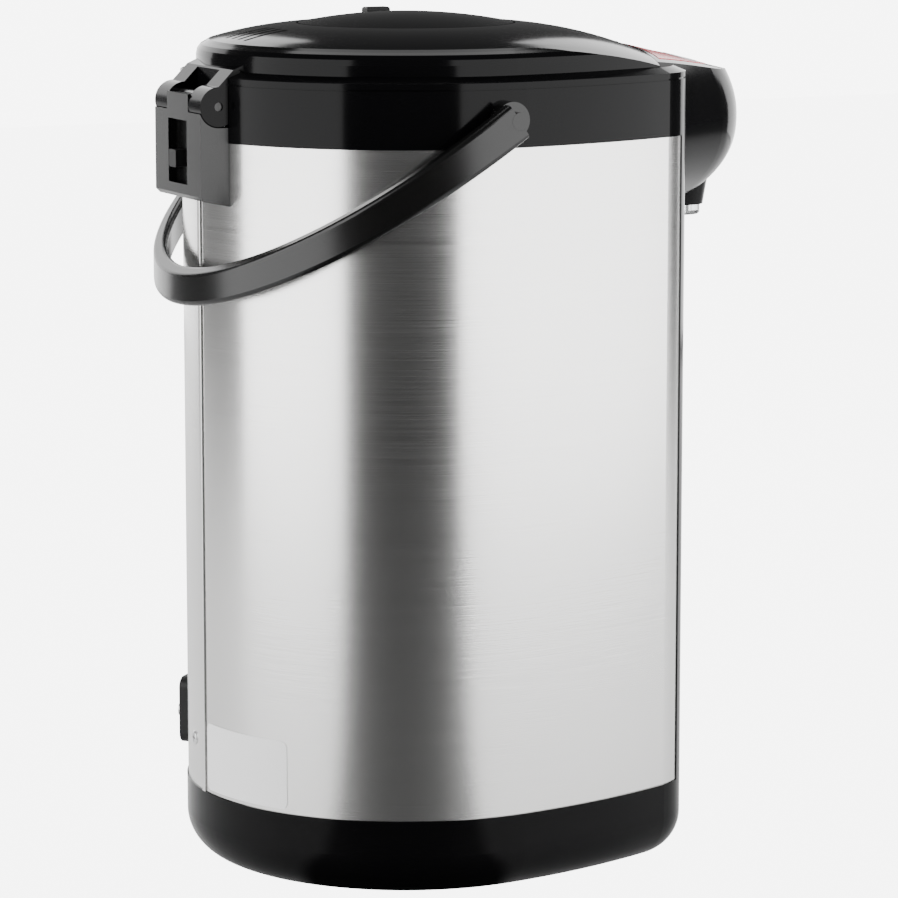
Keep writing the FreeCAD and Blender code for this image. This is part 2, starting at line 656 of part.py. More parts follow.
collar = outline_block(collar_step, jacket_top, collar_top + rim_rise)
slant = Part.makeLoft([outline_wire(collar_step, collar_top), outline_wire(collar_step - rim_inset, collar_top + rim_rise)],
                      True, True)
collar = outline_block(collar_step, jacket_top, collar_top).fuse(slant)
nose = nose_block(0, nose_underside)
body_front = outline_block(collar_step, base_top, jacket_top)
upper = collar.fuse(nose.cut(body_front))
# Groove round the collar just under its top edge.
groove_width = size("groove_width", 0.8)
groove_level = collar_top - 2.5
groove = outline_block(collar_step + 1, groove_level - groove_width, groove_level)
groove = groove.cut(outline_block(collar_step - groove_width, groove_level - groove_width, groove_level))
upper = upper.cut(groove)
# Seat of the lid: a recess in the deck, bounded in front by the bowed joint.
joint_disc = Part.makeCylinder(joint_bow, 60, Vector(0, joint_bow - joint_reach - joint_gap, deck_level))
seat = outline_block(collar_step - rim_inset, deck_level, deck_level + 60).common(joint_disc)
upper = upper.cut(seat)
# Hollow under the deck, and the round opening over the vessel.
hollow = outline_block(collar_step - plastic_wall, jacket_top, deck_level - deck_thick)
wall_bottom = mouth_level - 3
keep_ring = Part.makeCylinder(opening_radius + plastic_wall, deck_level - wall_bottom, Vector(0, 0, wall_bottom))
hollow = hollow.cut(keep_ring)
upper = upper.cut(hollow)
opening = Part.makeCylinder(opening_radius, 60, Vector(0, 0, mouth_level))
throat = Part.makeCylinder(mouth_radius + vessel_wall + 1, 60, Vector(0, 0, wall_bottom))
upper = upper.cut(opening).cut(throat)
# The nose is a hollow shell round the outlet pipe.
hollow_nose = nose_block(plastic_wall + 1, nose_underside)
back_wall = block(-200, 200, -front_reach - collar_step - 1, 0, 0, 500)
hollow_nose = hollow_nose.cut(back_wall).common(block(-200, 200, -400, 0, nose_underside + 8, 500))
upper = upper.cut(hollow_nose).cut(pipe_gate)
upper_shell = upper.removeSplitter()

# Spout: a tapered nozzle under the nose with a clear tip.
spout_top = size("spout_top", 318)
spout_flare = size("spout_flare", 3)
tip_drop = size("tip_drop", 4.9)
spout_axis = Vector(0, -spout_reach, 0)
pipe_shift = Vector(pump_x, 0, 0)
nozzle = Part.makeCone(spout_radius, spout_radius + spout_flare, spout_top - spout_end,
                       spout_axis + Vector(0, 0, spout_end))
nozzle = nozzle.cut(Part.makeCylinder(tube_bore + tube_wall + seat_gap, 40,
                                      spout_axis + pipe_shift + Vector(0, 0, spout_end + 10)))
nozzle = nozzle.cut(Part.makeCylinder(tube_bore, 40, spout_axis + pipe_shift + Vector(0, 0, spout_end)))
socket = Part.makeCone(spout_radius - 0.35 + seat_gap, spout_radius + spout_flare + seat_gap, spout_top - spout_end,
                       spout_axis + Vector(0, 0, spout_end))
upper_shell = upper_shell.cut(socket)
tip = Part.makeCylinder(spout_radius - 1.5, tip_drop, spout_axis + Vector(0, 0, spout_end - tip_drop))
tip = tip.makeChamfer(0.8, edges_at(tip, spout_end - tip_drop))
tip = tip.cut(Part.makeCylinder(tube_bore + 1, tip_drop, spout_axis + pipe_shift + Vector(0, 0, spout_end - tip_drop)))
shaped("spout_nozzle", nozzle)
shaped("spout_tip", tip)

# Control panel: a glossy plate let into the nose's crowned top, with two push buttons.
plate_inset = size("plate_inset", 7)
plate_thick = size("plate_thick", 1.5)
plate_front = size("plate_front", 156)
button_radius = size("button_radius", 8)
button_travel = size("button_travel", 1.2)
button_gap = size("button_gap", 0.3)
button_places = [("dispense_button", Vector(0, -138, 0)), ("reboil_button", Vector(-26, -131, 0))]


def crown_solid(drop):
    """Everything under the nose's top face, lowered by a drop."""
    fall = math.radians(top_fall)
    along = Vector(0, -math.cos(fall), -math.sin(fall))
    up = Vector(0, -math.sin(fall), math.cos(fall))
    axis_point = Vector(0, -joint_reach, joint_level - drop) - up * crown_radius
    return Part.makeCylinder(crown_radius, 400, axis_point - along * 200, along)


plate_plan = Part.Face(nose_wire(-plate_inset - nose_inset, nose_turn)).extrude(Vector(0, 0, 60))
plate_zone = joint_disc.translated(Vector(0, -3.5, -60)).fuse(joint_disc.translated(Vector(0, -3.5, 0)))
plate = plate_plan.common(crown_solid(-0.2)).cut(crown_solid(plate_thick)).cut(plate_zone)
plate = plate.common(block(-200, 200, -plate_front, 0, 330, 400))
upper_shell = upper_shell.cut(plate)
control_board = block(-34, 34, -147, -123, 356, 356 + board_thick)
control_board = control_board.cut(Part.makeCylinder(tube_bore + tube_wall + 2, 60, Vector(pump_x, -spout_reach, 330)))
for x in (-12, 12):
    control_board = control_board.cut(Part.makeCylinder(1.6, 10, Vector(x, -127, 350)))
    pillar = Part.makeCylinder(3, 30, Vector(x, -127, 356 + board_thick)).common(crown_solid(plate_thick))
    upper_shell = upper_shell.fuse(pillar)
buttons = []
for name, place in button_places:
    shaft_hole = Part.makeCylinder(button_radius + button_gap, 60, place + Vector(0, 0, 340))
    plate = plate.cut(shaft_hole)
    upper_shell = upper_shell.cut(Part.makeCylinder(button_radius - 2, 60, place + Vector(0, 0, 362)).common(
        crown_solid(0)))
    pocket = Part.makeCylinder(button_radius + button_gap, 60, place + Vector(0, 0, 340))
    pocket = pocket.cut(crown_solid(plate_thick + button_travel + 1))
    upper_shell = upper_shell.cut(pocket)
    cap = Part.makeCylinder(button_radius, 60, place + Vector(0, 0, 340)).common(crown_solid(-0.6))
    cap = cap.cut(crown_solid(plate_thick))
    stem = Part.makeCylinder(button_radius - 5, 60, place + Vector(0, 0, 356 + board_thick + 4 + button_travel + 0.3))
    cap = cap.fuse(stem.common(crown_solid(plate_thick)))
    buttons.append((name, cap))
    switch = block(-3, 3, -3, 3, 0, 4).translated(place + Vector(0, 0, 356 + board_thick))
    control_board = control_board.fuse(switch)
shaped("control_panel", plate)
shaped("control_board", control_board.removeSplitter())
for name, cap in buttons:
    shaped(name, cap)

# Lid: a domed cover whose rim follows the collar, with a well for the pump plate.
dome_level = size("dome_level", 391)
dome_mid_radius = size("dome_mid_radius", 86)
dome_mid_level = size("dome_mid_level", 385.3)
dome_edge_radius = size("dome_edge_radius", 126)
dome_edge_level = size("dome_edge_level", 369.4)
lid_wall = size("lid_wall", 2.6)
well_floor = size("well_floor", 359.5)
edge_round = size("edge_round", 6)
edge_level = size("edge_level", 383)


def dome_solid(drop):
    """Solid of revolution under the dome, lowered by a drop."""
    rim = Vector(disc_radius, 0, dome_level - drop)
    mid = Vector(dome_mid_radius, 0, dome_mid_level - drop)
    edge = Vector(dome_edge_radius, 0, dome_edge_level - drop)
    axis_top = Vector(0, 0, dome_level - drop)
    axis_foot = Vector(0, 0, 300)
    edge_foot = Vector(dome_edge_radius, 0, 300)
    profile = Part.Wire([
        Part.makeLine(axis_top, rim),
        Part.Arc(rim, mid, edge).toShape(),
        Part.makeLine(edge, edge_foot),
        Part.makeLine(edge_foot, axis_foot),
        Part.makeLine(axis_foot, axis_top),
    ])
    return Part.Face(profile).revolve(Vector(0, 0, 0), Vector(0, 0, 1), 360)


def lid_block(inset, foot):
    """Lid's outer form, shrunk by an inset, standing on a level, with a rounded upper edge."""
    base = collar_step - lid_inset - inset
    turn_level = edge_level - edge_round - inset
    plan = outline_block(base, foot, turn_level)
    levels = [(base, turn_level)]
    for angle in (25, 50, 72):
        turn = math.radians(angle)
        levels.append((base - edge_round * (1 - math.cos(turn)), turn_level + edge_round * math.sin(turn)))
    levels.append((base - corner_radius * 0.6, dome_level + 1 - inset))
    for (low, low_level), (high, high_level) in zip(levels, levels[1:]):
        band = Part.makeLoft([outline_wire(low, low_level), outline_wire(high, high_level)], True, True)
        plan = plan.fuse(band)
    front = Part.makeCylinder(joint_bow - inset, 60, Vector(0, joint_bow - joint_reach, foot))
    return plan.common(front).common(dome_solid(inset))


lid_outer = lid_block(0, lid_foot)
lid_inner = lid_block(lid_wall, lid_foot)
lid_shell = lid_outer.cut(lid_inner)
# Well round the pump plate, open at the bottom for the bellows.
well_radius = disc_radius + disc_gap
well = Part.makeCylinder(well_radius + lid_wall, dome_level - well_floor, Vector(0, 0, well_floor))
well = well.common(dome_solid(0))
lid_shell = lid_shell.fuse(well).cut(Part.makeCylinder(well_radius, 60, Vector(0, 0, well_floor)))
# Vent slots over the steam outlet, in a row across the mid-plane.
vent_start = size("vent_start", 64)
for index in range(int(vent_count)):
    across = (index - (vent_count - 1) / 2) * vent_pitch
    slot = block(across - vent_width / 2, across + vent_width / 2, vent_start, vent_start + vent_length,
                 lid_foot, dome_level)
    slot = slot.makeFillet(vent_width / 2 - 0.1, [e for e in slot.Edges if e.BoundBox.ZLength > 10])
    lid_shell = lid_shell.cut(slot)
# Yoke of the hinge: a cover that reaches back over the pin with a round lobe on each side.
pin_place = size("pin_place", 105.5)
lobe_radius = size("lobe_radius", 9)
tongue_half = size("tongue_half", 12.5)
tongue_radius = size("tongue_radius", 6)
hinge_gap = size("hinge_gap", 0.5)
yoke_top = hinge_level + lobe_radius
pin_line = Vector(0, pin_place, hinge_level)
lobe = Part.makeCylinder(lobe_radius, 2 * hinge_half, pin_line - Vector(hinge_half, 0, 0), Vector(1, 0, 0))
bridge_front = pin_place - 18
bridge = Part.Face(Part.makePolygon([
    Vector(-hinge_half, bridge_front, lid_foot),
    Vector(-hinge_half, pin_place - lobe_radius, lid_foot),
    Vector(-hinge_half, pin_place - lobe_radius, hinge_level),
    Vector(-hinge_half, pin_place, hinge_level),
    Vector(-hinge_half, pin_place, yoke_top),
    Vector(-hinge_half, pin_place - lobe_radius * 0.8, lid_foot + 2),
    Vector(-hinge_half, bridge_front + 2, edge_level - edge_round),
    Vector(-hinge_half, bridge_front, lid_foot),
])).extrude(Vector(2 * hinge_half, 0, 0))
yoke = lobe.fuse(bridge)
yoke = yoke.cut(block(-tongue_half - hinge_gap, tongue_half + hinge_gap, pin_place - tongue_radius - hinge_gap,
                      hinge_back + 5, 0, yoke_top + 20))
yoke = yoke.cut(rod(hinge_pin_radius + running_gap, pin_line - Vector(50, 0, 0), pin_line + Vector(50, 0, 0)))
lid_shell = lid_shell.fuse(yoke.cut(lid_inner))
# Opening for the latch lever on the front slope.
latch_half = size("latch_half", 13)
latch_back = size("latch_back", 66.5)
latch_gap = size("latch_gap", 0.8)
latch_thick = size("latch_thick", 2.2)
latch_slope = size("latch_slope", 10.9)
latch_level = size("latch_level", 386.7)
latch_turn = math.radians(latch_slope)
latch_root = Vector(0, -latch_back, latch_level)
latch_run = (joint_reach - latch_back) / math.cos(latch_turn)


def latch_slab(grow, thick, lift_by, run):
    """Slab lying on the lid's front slope."""
    slab = block(-latch_half - grow, latch_half + grow, -run - grow, grow, lift_by - thick, lift_by)
    slab.Placement = Placement(latch_root, Rotation(Vector(1, 0, 0), latch_slope))
    return slab


latch_axis = latch_root + Vector(0, -2.5, -2.8)
latch_bar = rod(1.2, latch_axis - Vector(latch_half + 2.5, 0, 0), latch_axis + Vector(latch_half + 2.5, 0, 0))
lid_shell = lid_shell.cut(latch_slab(latch_gap, 8.5, 3, latch_run + 5))

# Inner lid: a cup that dips into the vessel's neck, with a flange that carries the gasket.
cup_radius = size("cup_radius", 60)
cup_floor = size("cup_floor", 334)
flange_radius = size("flange_radius", 82)
flange_level = size("flange_level", 357)
flange_thick = size("flange_thick", 2)
cup_wall = size("cup_wall", 2)
turned_body("inner_lid", [
    ("8", "cup_floor"),
    ("cup_radius", "cup_floor"),
    ("cup_radius", "flange_level"),
    ("flange_radius", "flange_level"),
    ("flange_radius", "flange_level + flange_thick"),
    ("cup_radius - cup_wall", "flange_level + flange_thick"),
    ("cup_radius - cup_wall", "cup_floor + cup_wall"),
    ("8", "cup_floor + cup_wall"),
])
# Posts of the lid cover stand on the inner lid's flange and take its screws.
lid_post_circle = size("lid_post_circle", 70)
lid_post_radius = size("lid_post_radius", 4)
flange_top = flange_level + flange_thick
lid_screws = []
inner_lid = nodes[-1]
for angle in (45, 135, 225, 315):
    place = on_axis(angle, lid_post_circle, Vector(0, 0, 0))
    post = Part.makeCylinder(lid_post_radius, 60, place + Vector(0, 0, flange_top)).common(dome_solid(1))
    post = post.cut(Part.makeCylinder(screw_radius, 9, place + Vector(0, 0, flange_top)))
    lid_shell = lid_shell.fuse(post)
    lid_screws.append(Part.makeCylinder(screw_radius, 8, place + Vector(0, 0, flange_top)))
lid_shell = lid_shell.cut(rod(1.25, latch_axis - Vector(latch_half + 2.5, 0, 0), latch_axis + Vector(latch_half + 2.5, 0, 0)))
lid_cover = lid_shell.removeSplitter()
shaped("lid_cover", lid_cover)
shaped("lid_screws", Part.makeCompound(lid_screws))
gasket_inner = size("gasket_inner", 76.5)
gasket_foot = mouth_level + vessel_wall + seat_gap
gasket = Part.makeCylinder(flange_radius - 1, flange_level - gasket_foot, Vector(0, 0, gasket_foot))
gasket = gasket.cut(Part.makeCylinder(gasket_inner, flange_level - gasket_foot, Vector(0, 0, gasket_foot)))
gasket = gasket.makeFillet(1.2, edges_at(gasket, gasket_foot)[:1])
shaped("lid_gasket", gasket)

# Steam outlet: a small duct with a baffle, under the vent slots.
duct_half = size("duct_half", 16)
duct = block(-duct_half, duct_half, vent_start - 2, vent_start + vent_length + 1, lid_foot + 0.5, lid_foot + 2)
duct = duct.common(lid_inner)
duct = duct.fuse(block(-duct_half, duct_half, vent_start - 2, vent_start - 0.5, flange_top, lid_foot + 2))
for index in range(5):
    hole_x = (index - 2) * vent_pitch
    duct = duct.cut(Part.makeCylinder(1.5, 20, Vector(hole_x, vent_start + 10, lid_foot - 5)))
shaped("steam_duct", duct)

# Air valve in the middle of the cup, under the bellows.
valve_seat = size("valve_seat", 8)
valve = Part.makeCylinder(valve_seat, cup_wall + 2, Vector(0, 0, cup_floor - 2))
valve = valve.cut(Part.makeCylinder(2, cup_wall + 2, Vector(0, 0, cup_floor - 2)))
valve = valve.fuse(Part.makeCylinder(valve_seat + 3, 2, Vector(0, 0, cup_floor - 2)).cut(
    Part.makeCylinder(2, 2, Vector(0, 0, cup_floor - 2))))
shaped("air_valve", valve)

# Bellows and return spring between the cup's floor and the pump plate.
plate_foot = dome_level - disc_thick
cup_top = cup_floor + cup_wall
bellows_foot = cup_top + seat_gap
fold_count = 6
fold_pitch = (plate_foot - seat_gap - bellows_foot) / fold_count
outer_side = []
inner_side = []
for index in range(2 * fold_count + 1):
    radius = bellows_radius if index % 2 else bellows_radius - bellows_fold
    level = bellows_foot + index * fold_pitch / 2
    outer_side.append(Vector(radius, 0, level))
    inner_side.append(Vector(radius - 1.2, 0, level))
profile = Part.makePolygon(outer_side + inner_side[::-1] + outer_side[:1])
bellows = Part.Face(profile).revolve(Vector(0, 0, 0), Vector(0, 0, 1), 360)
shaped("bellows", bellows)
spring_foot = bellows_foot + spring_wire / 2
spring_run = plate_foot - seat_gap - bellows_foot - spring_wire
helix = Part.makeHelix(spring_run / spring_turns, spring_run, spring_radius)
helix.translate(Vector(0, 0, spring_foot))
ring = Part.Wire([Part.makeCircle(spring_wire / 2, Vector(spring_radius, 0, spring_foot), Vector(0, 1, 0))])
spring = Part.Wire(helix.Edges).makePipeShell([ring], True, True)
print("spring gap between turns", spring_run / spring_turns - spring_wire)
shaped("return_spring", spring)

# Pump plate: a crowned disc with a skirt that slides in the lid's well.
disc_bow = (disc_radius ** 2 + disc_crown ** 2) / (2 * disc_crown)
crown_ball = Part.makeSphere(disc_bow, Vector(0, 0, dome_level + disc_crown - disc_bow))
disc = Part.makeCylinder(disc_radius, disc_thick + disc_crown, Vector(0, 0, plate_foot)).common(crown_ball)
disc = disc.cut(Part.makeCylinder(disc_radius - 3, disc_thick - 3, Vector(0, 0, plate_foot)).cut(
    Part.makeCylinder(bellows_radius + 2, disc_thick - 3, Vector(0, 0, plate_foot))))
disc = disc.cut(Part.makeCylinder(spring_radius + 3, 3, Vector(0, 0, plate_foot)).cut(
    Part.makeCylinder(spring_radius + 3, 3, Vector(0, 0, plate_foot))))
lock_x = size("lock_x", 39)
lock_y = size("lock_y", 3)
lock_long = size("lock_long", 6)
lock_travel = size("lock_travel", 4)
lock_foot = dome_level - 4
lock_top = dome_level + 5.2
lock_pocket = block(lock_x - lock_long / 2 - 0.3, lock_x + lock_long / 2 + lock_travel + 0.3,
                    -lock_y - lock_width / 2 - 0.3, -lock_y + lock_width / 2 + 0.3, lock_foot - 0.05, 420)
disc = disc.cut(lock_pocket)
shaped("pump_plate", disc.removeSplitter())
lock = block(lock_x - lock_long / 2, lock_x + lock_long / 2, -lock_y - lock_width / 2, -lock_y + lock_width / 2,
             lock_foot, lock_top)
lock = lock.makeFillet(1.2, edges_at(lock, lock_top))
shaped("pump_lock", lock)

# Latch lever: a plate on the lid's front slope, with a hook that catches under the deck's front edge.
lever = latch_slab(0, latch_thick, 0.6, latch_run - 1)
lever = lever.fuse(rod(1.2, latch_axis - Vector(latch_half + 2, 0, 0), latch_axis + Vector(latch_half + 2, 0, 0)))
hub = rod(2.2, latch_axis - Vector(latch_half - 1, 0, 0), latch_axis + Vector(latch_half - 1, 0, 0))
lever = lever.fuse(hub)
shaped("latch_lever", lever.removeSplitter())

# Hinge housing: a box on the rear of the collar with a tongue between the lobes of the lid's yoke.
cheek_top = hinge_level - lobe_radius - hinge_gap
housing = Part.Face(Part.makePolygon([
    Vector(-hinge_half, body_radius - 8, box_bottom - 3.5),
    Vector(-hinge_half, hinge_back - 2, box_bottom),
    Vector(-hinge_half, hinge_back, box_bottom + 2),
    Vector(-hinge_half, hinge_back, hinge_level - 1.5),
    Vector(-hinge_half, pin_place, hinge_level - 1.5),
    Vector(-hinge_half, pin_place, cheek_top),
    Vector(-hinge_half, body_radius - 8, cheek_top),
    Vector(-hinge_half, body_radius - 8, box_bottom - 3.5),
])).extrude(Vector(2 * hinge_half, 0, 0))
lobe_room = rod(lobe_radius + hinge_gap, pin_line - Vector(50, 0, 0), pin_line + Vector(50, 0, 0))
housing = housing.cut(lobe_room)
tongue = block(-tongue_half, tongue_half, pin_place - tongue_radius, pin_place, cheek_top, hinge_level)
tongue_back = block(-tongue_half, tongue_half, pin_place, hinge_back, cheek_top, hinge_level + tongue_radius - 1)
tongue = tongue.fuse(tongue_back)
tongue = tongue.fuse(rod(tongue_radius, pin_line - Vector(tongue_half, 0, 0), pin_line + Vector(tongue_half, 0, 0)))
housing = housing.cut(outline_block(collar_step, jacket_top, cheek_top + 5)).cut(outline_block(0, base_top, jacket_top))
housing = housing.cut(seam)
housing = housing.fuse(tongue)
housing = housing.cut(rod(hinge_pin_radius, pin_line - Vector(50, 0, 0), pin_line + Vector(50, 0, 0)))
slot_half = size("slot_half", 11)
slot_low = size("slot_low", 321)
slot_high = size("slot_high", 350)
slot_deep = size("slot_deep", 4)
housing = housing.cut(block(-slot_half, slot_half, hinge_back - slot_deep, hinge_back + 1, slot_low, slot_high))
notch = block(-hinge_half - hinge_gap, hinge_half + hinge_gap, opening_radius + plastic_wall + 0.3, hinge_back + 10,
              cheek_top, 420)
rim_notch = block(-hinge_half - hinge_gap, hinge_half + hinge_gap, opening_radius - 1, hinge_back, deck_level, 420)
upper_shell = upper_shell.cut(notch).cut(rim_notch)
shaped("hinge_housing", housing.removeSplitter())
pin = rod(hinge_pin_radius, pin_line - Vector(hinge_half - 1, 0, 0), pin_line + Vector(hinge_half - 1, 0, 0))
shaped("hinge_pin", pin)
tab_travel = size("tab_travel", 3)
tab = block(1, 9, hinge_back - slot_deep + 0.1, hinge_back + 0.6, slot_low + 7, slot_low + 15)
tab = tab.makeFillet(1, [e for e in tab.Edges if e.BoundBox.YLength > 3])
shaped("hinge_release", tab)

# Bail handle on two pivots, lowered behind the pot. It is a strap that lies along the jacket:
# a slice of a tube round the pot, cut by a slab that leans back and thins towards the grip.
bail_inner = body_radius + handle_clear
arm_place = bail_inner + handle_thick / 2
half_width = handle_width / 2
grip_half = grip_width / 2 * math.cos(math.radians(handle_drop))
bail_run = 2 * body_radius
bail_tube = Part.makeCylinder(bail_inner + handle_thick, 400, Vector(0, 0, 0))
bail_tube = bail_tube.cut(Part.makeCylinder(bail_inner, 400, Vector(0, 0, 0)))
grip_run = (bail_inner + handle_thick) / math.cos(math.radians(handle_drop))
slab = Part.Face(Part.makePolygon([
    Vector(-bail_run, 0, half_width),
    Vector(-bail_run, grip_run, grip_half),
    Vector(-bail_run, grip_run + 10, grip_half),
    Vector(-bail_run, grip_run + 10, -grip_half),
    Vector(-bail_run, grip_run, -grip_half),
    Vector(-bail_run, 0, -half_width),
    Vector(-bail_run, 0, half_width),
])).extrude(Vector(2 * bail_run, 0, 0))
slab.Placement = Placement(Vector(0, 0, pivot_level), Rotation(Vector(1, 0, 0), -handle_drop))
bail = bail_tube.common(slab)
long_edges = [e for e in bail.Edges if e.Length > bail_inner]
bail = bail.makeFillet(handle_thick * 0.3, long_edges)
for side in (-1, 1):
    inner_face = Vector(side * bail_inner, 0, pivot_level)
    outer_face = Vector(side * (bail_inner + handle_thick), 0, pivot_level)
    bail = bail.fuse(rod(half_width, inner_face, outer_face))
    bore = rod(pivot_radius + running_gap, inner_face - Vector(side * 5, 0, 0), outer_face + Vector(side * 5, 0, 0))
    bail = bail.cut(bore)
handle = doc.addObject("Part::Feature", "handle")
handle.Shape = bail.removeSplitter()
node(handle, "handle")
pivots = []
for side in (-1, 1):
    root = Vector(side * (body_radius - 8), 0, pivot_level)
    shoulder = Vector(side * (arm_place - handle_thick / 2 - seat_gap), 0, pivot_level)
    end = Vector(side * (arm_place + handle_thick / 2), 0, pivot_level)
    pivot = rod(half_width - 0.5, root, shoulder).fuse(rod(pivot_radius, root, end))
    pivots.append(pivot.cut(outline_block(collar_step, jacket_top, collar_top)))
shaped("handle_pivots", Part.makeCompound(pivots))
shaped("upper_shell", upper_shell.removeSplitter())

doc.recompute()
os.makedirs("parts", exist_ok=True)
for item in doc.Objects:
    if "Invalid" in item.State or "Error" in item.State:
        raise RuntimeError("%s failed: %s" % (item.Label, item.State))
for item in nodes:
    if item.Shape.isNull() or not item.Shape.isValid():
        raise RuntimeError("%s has no valid shape" % item.Label)
    if not item.Shape.Solids:
        raise RuntimeError("%s has no solid" % item.Label)
for item in nodes:
    item.Shape.exportStep("parts/%s.step" % item.Label)
    print("%-20s solids %2d volume %10.0f" % (item.Label, len(item.Shape.Solids), item.Shape.Volume))
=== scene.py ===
import math

import bpy
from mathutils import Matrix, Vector


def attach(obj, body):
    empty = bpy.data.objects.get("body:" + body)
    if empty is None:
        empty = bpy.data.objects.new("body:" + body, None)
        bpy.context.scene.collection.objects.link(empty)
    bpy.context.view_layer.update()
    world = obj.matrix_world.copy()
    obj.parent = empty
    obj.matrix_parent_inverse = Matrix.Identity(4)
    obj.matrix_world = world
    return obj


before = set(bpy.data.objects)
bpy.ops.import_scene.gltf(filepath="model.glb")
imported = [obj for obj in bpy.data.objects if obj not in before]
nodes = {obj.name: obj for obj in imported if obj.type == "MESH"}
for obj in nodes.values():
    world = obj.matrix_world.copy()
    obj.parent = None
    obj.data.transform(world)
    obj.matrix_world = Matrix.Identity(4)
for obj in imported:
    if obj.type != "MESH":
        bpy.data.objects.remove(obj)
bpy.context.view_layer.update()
bpy.ops.object.select_all(action="DESELECT")

# Camera: a long lens above the pot's collar, looking down a little at its rear right flank,
# so that the spout is at the far right and the hinge at the left.
scene = bpy.context.scene
camera_data = bpy.data.cameras.new("camera")
camera_data.sensor_width = 36
camera_data.lens = 164.5
camera_data.clip_start = 0.05
camera = bpy.data.objects.new("camera", camera_data)
scene.collection.objects.link(camera)
to_pot = Vector((0.8988, -0.4384, 0))
camera_pitch = math.radians(9.2)
look = to_pot * math.cos(camera_pitch) - Vector((0, 0, math.sin(camera_pitch)))
camera.location = (-1.7239, 0.8185, 0.4996)
camera.rotation_euler = look.to_track_quat("-Z", "Y").to_euler()
scene.camera = camera

# Studio: a white floor and a room that the camera sees as plain white. A dark strip of floor
# between the camera and the pot, seen only in reflections, gives the steel one dark upright band.
bpy.ops.mesh.primitive_plane_add(size=1, location=(0, 0, 0))
floor = bpy.context.active_object
floor.name = "studio_floor"
floor.scale = (8, 8, 1)
bpy.ops.object.transform_apply(location=True, rotation=True, scale=True)
floor_paint = bpy.data.materials.new("studio_white")
floor_paint.use_nodes = True
floor_tree = floor_paint.node_tree
floor_shader = floor_tree.nodes["Principled BSDF"]
floor_shader.inputs["Roughness"].default_value = 0.6
left_way = Vector((0.4384, 0.8988, 0))
back_to_camera = -to_pot
seen_white = 7.0
room_light = 0.12


def new_node(tree, kind, **settings):
    """Shader node with the given settings."""
    node = tree.nodes.new(kind)
    for setting, value in settings.items():
        setattr(node, setting, value)
    return node


floor_place = new_node(floor_tree, "ShaderNodeTexCoord")
ahead = new_node(floor_tree, "ShaderNodeVectorMath", operation="DOT_PRODUCT")
ahead.inputs[1].default_value = back_to_camera
aside = new_node(floor_tree, "ShaderNodeVectorMath", operation="DOT_PRODUCT")
aside.inputs[1].default_value = left_way
way_angle = new_node(floor_tree, "ShaderNodeMath", operation="ARCTAN2")
off_axis = new_node(floor_tree, "ShaderNodeMath", operation="ABSOLUTE")
strip = new_node(floor_tree, "ShaderNodeMapRange", interpolation_type="SMOOTHSTEP")
strip.inputs["From Min"].default_value = math.radians(26)
strip.inputs["From Max"].default_value = math.radians(34)
strip_paint = new_node(floor_tree, "ShaderNodeMix", data_type="RGBA")
strip_paint.inputs["A"].default_value = (0.03, 0.03, 0.03, 1)
strip_paint.inputs["B"].default_value = (0.93, 0.93, 0.93, 1)
floor_glow = new_node(floor_tree, "ShaderNodeEmission")
floor_glow.inputs["Strength"].default_value = seen_white
seen = new_node(floor_tree, "ShaderNodeLightPath")
glow_share = new_node(floor_tree, "ShaderNodeMath", operation="MULTIPLY")
glow_share.inputs[1].default_value = 0.95
floor_mix = new_node(floor_tree, "ShaderNodeMixShader")
for source, target in (
    (floor_place.outputs["Object"], ahead.inputs[0]),
    (floor_place.outputs["Object"], aside.inputs[0]),
    (aside.outputs["Value"], way_angle.inputs[0]),
    (ahead.outputs["Value"], way_angle.inputs[1]),
    (way_angle.outputs[0], off_axis.inputs[0]),
    (off_axis.outputs[0], strip.inputs["Value"]),
    (strip.outputs["Result"], strip_paint.inputs["Factor"]),
    (strip_paint.outputs["Result"], floor_shader.inputs["Base Color"]),
    (seen.outputs["Is Camera Ray"], glow_share.inputs[0]),
    (glow_share.outputs[0], floor_mix.inputs["Fac"]),
    (floor_shader.outputs[0], floor_mix.inputs[1]),
    (floor_glow.outputs[0], floor_mix.inputs[2]),
    (floor_mix.outputs[0], floor_tree.nodes["Material Output"].inputs["Surface"]),
):
    floor_tree.links.new(source, target)
floor.data.materials.append(floor_paint)

world = bpy.data.worlds.new("studio_room")
world.use_nodes = True
room_tree = world.node_tree
room = room_tree.nodes["Background"]
room.inputs["Color"].default_value = (1, 1, 1, 1)
room_view = new_node(room_tree, "ShaderNodeLightPath")
room_level = new_node(room_tree, "ShaderNodeMath", operation="MULTIPLY_ADD")
room_level.inputs[1].default_value = seen_white
room_level.inputs[2].default_value = room_light
room_tree.links.new(room_view.outputs["Is Camera Ray"], room_level.inputs[0])
room_tree.links.new(room_level.outputs[0], room.inputs["Strength"])
scene.world = world

# Softboxes: one on each side of the dark strip, two behind the pot and one overhead.
# Each aims at the middle of the pot.
pot_middle = Vector((0, 0, 0.2))


def softbox(name, turn, distance, height, width, tall, power):
    """Area light at an angle from the camera's side of the pot, positive to the picture's left."""
    angle = math.radians(turn)
    way = back_to_camera * math.cos(angle) + left_way * math.sin(angle)
    place = way * distance + Vector((0, 0, height))
    light = bpy.data.lights.new(name, "AREA")
    light.shape = "RECTANGLE"
    light.size = width
    light.size_y = tall
    light.energy = power
    lamp = bpy.data.objects.new(name, light)
    lamp.location = place
    lamp.rotation_euler = (pot_middle - place).to_track_quat("-Z", "Y").to_euler()
    scene.collection.objects.link(lamp)


